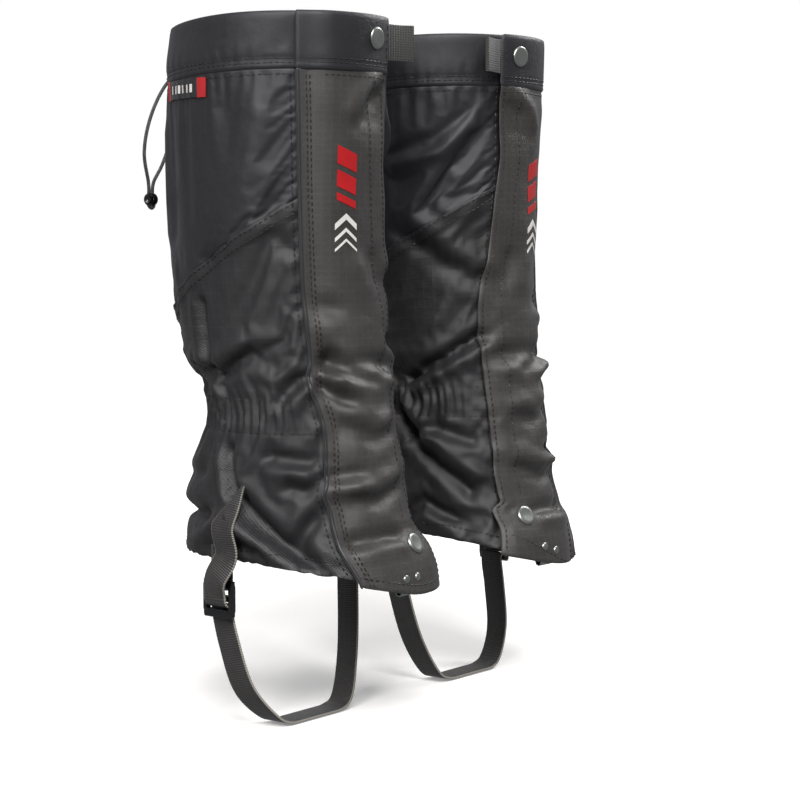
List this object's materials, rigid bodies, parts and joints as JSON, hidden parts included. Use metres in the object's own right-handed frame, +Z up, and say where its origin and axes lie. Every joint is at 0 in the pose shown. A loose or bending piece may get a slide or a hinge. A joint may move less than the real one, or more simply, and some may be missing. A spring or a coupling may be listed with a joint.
{
  "type": "gaiters",
  "caption": "Pair of black knee-high hiking gaiters with front flaps, snaps, drawcords and buckled instep straps.",
  "frame": {"origin": "midway between the two legs, level with the underside of the instep straps", "axes": "+Z up, the wearer faces -Y, the left gaiter at +X"},
  "size_m": [0.3244, 0.2065, 0.482],
  "materials": {
    "smooth_nylon": "satin",
    "heavy_ripstop": "matte",
    "flap_ripstop": "satin",
    "hook_tape": "matte",
    "nickel_snap": "satin",
    "steel_hook": "satin",
    "ribbed_webbing": "matte",
    "coated_webbing": "satin",
    "glossy_buckle": "gloss",
    "black_elastic": "matte",
    "woven_label": "matte"
  },
  "bodies": {
    "gaiters": {"right_collar": "smooth_nylon", "right_upper_outer_panel": "smooth_nylon", "right_upper_inner_panel": "smooth_nylon", "right_lower_outer_panel": "heavy_ripstop", "right_lower_inner_panel": "heavy_ripstop", "right_underlap": "smooth_nylon", "right_loop_tape": "hook_tape", "right_collar_snap_stud": "nickel_snap", "right_hem_snap_stud": "nickel_snap", "right_cord_eyelet": "nickel_snap", "right_buckle_loop": "ribbed_webbing", "right_strap_anchor": "ribbed_webbing", "right_instep_strap": "coated_webbing", "right_strap_tail": "coated_webbing", "right_drawcord": "black_elastic", "right_ankle_elastic": "black_elastic", "right_side_label": "woven_label", "left_collar": "smooth_nylon", "left_upper_outer_panel": "smooth_nylon", "left_upper_inner_panel": "smooth_nylon", "left_lower_outer_panel": "heavy_ripstop", "left_lower_inner_panel": "heavy_ripstop", "left_underlap": "smooth_nylon", "left_loop_tape": "hook_tape", "left_collar_snap_stud": "nickel_snap", "left_hem_snap_stud": "nickel_snap", "left_cord_eyelet": "nickel_snap", "left_buckle_loop": "ribbed_webbing", "left_strap_anchor": "ribbed_webbing", "left_instep_strap": "coated_webbing", "left_strap_tail": "coated_webbing", "left_drawcord": "black_elastic", "left_ankle_elastic": "black_elastic", "left_side_label": "woven_label"},
    "right_flap": {"right_front_flap": "flap_ripstop", "right_collar_end": "smooth_nylon", "right_pull_tab": "ribbed_webbing", "right_hook_tape": "hook_tape", "right_collar_snap_cap": "nickel_snap", "right_hem_snap_cap": "nickel_snap", "right_lace_hook": "steel_hook", "right_hook_rivet_1": "nickel_snap", "right_hook_rivet_2": "nickel_snap"},
    "right_buckle_body": {"right_buckle": "glossy_buckle"},
    "right_cord_lock": {"right_cord_lock_body": "glossy_buckle"},
    "right_lock_button": {"right_cord_lock_button": "glossy_buckle"},
    "left_flap": {"left_front_flap": "flap_ripstop", "left_collar_end": "smooth_nylon", "left_pull_tab": "ribbed_webbing", "left_hook_tape": "hook_tape", "left_collar_snap_cap": "nickel_snap", "left_hem_snap_cap": "nickel_snap", "left_lace_hook": "steel_hook", "left_hook_rivet_1": "nickel_snap", "left_hook_rivet_2": "nickel_snap"},
    "left_buckle_body": {"left_buckle": "glossy_buckle"},
    "left_cord_lock": {"left_cord_lock_body": "glossy_buckle"},
    "left_lock_button": {"left_cord_lock_button": "glossy_buckle"}
  },
  "joints": [
    {"name": "right_flap_open", "type": "hinge", "parent": "gaiters", "child": "right_flap", "pos_m": [-0.1311, -0.08495, 0.11], "axis": [0.0116, -0.0642, -0.9979], "range_deg": [0, 100]},
    {"name": "right_buckle_tilt", "type": "hinge", "parent": "gaiters", "child": "right_buckle_body", "pos_m": [-0.1544, -0.0071, 0.1015], "axis": [0, 1, 0], "range_deg": [0, 45]},
    {"name": "right_cord_lock_slide", "type": "slide", "parent": "gaiters", "child": "right_cord_lock", "axis": [0, 0, 1], "range_m": [0, 0.008]},
    {"name": "right_lock_button_press", "type": "slide", "parent": "right_cord_lock", "child": "right_lock_button", "axis": [0.8645, 0.5026, 0], "range_m": [0, 0.0016], "stiffness_N_per_m": 900},
    {"name": "left_flap_open", "type": "hinge", "parent": "gaiters", "child": "left_flap", "pos_m": [0.1311, -0.08495, 0.11], "axis": [0.0116, 0.0642, 0.9979], "range_deg": [0, 100]},
    {"name": "left_buckle_tilt", "type": "hinge", "parent": "gaiters", "child": "left_buckle_body", "pos_m": [0.1544, -0.0071, 0.1015], "axis": [0, -1, 0], "range_deg": [0, 45]},
    {"name": "left_cord_lock_slide", "type": "slide", "parent": "gaiters", "child": "left_cord_lock", "axis": [0, 0, 1], "range_m": [0, 0.008]},
    {"name": "left_lock_button_press", "type": "slide", "parent": "left_cord_lock", "child": "left_lock_button", "axis": [-0.8645, 0.5026, 0], "range_m": [0, 0.0016], "stiffness_N_per_m": 900}
  ]
}
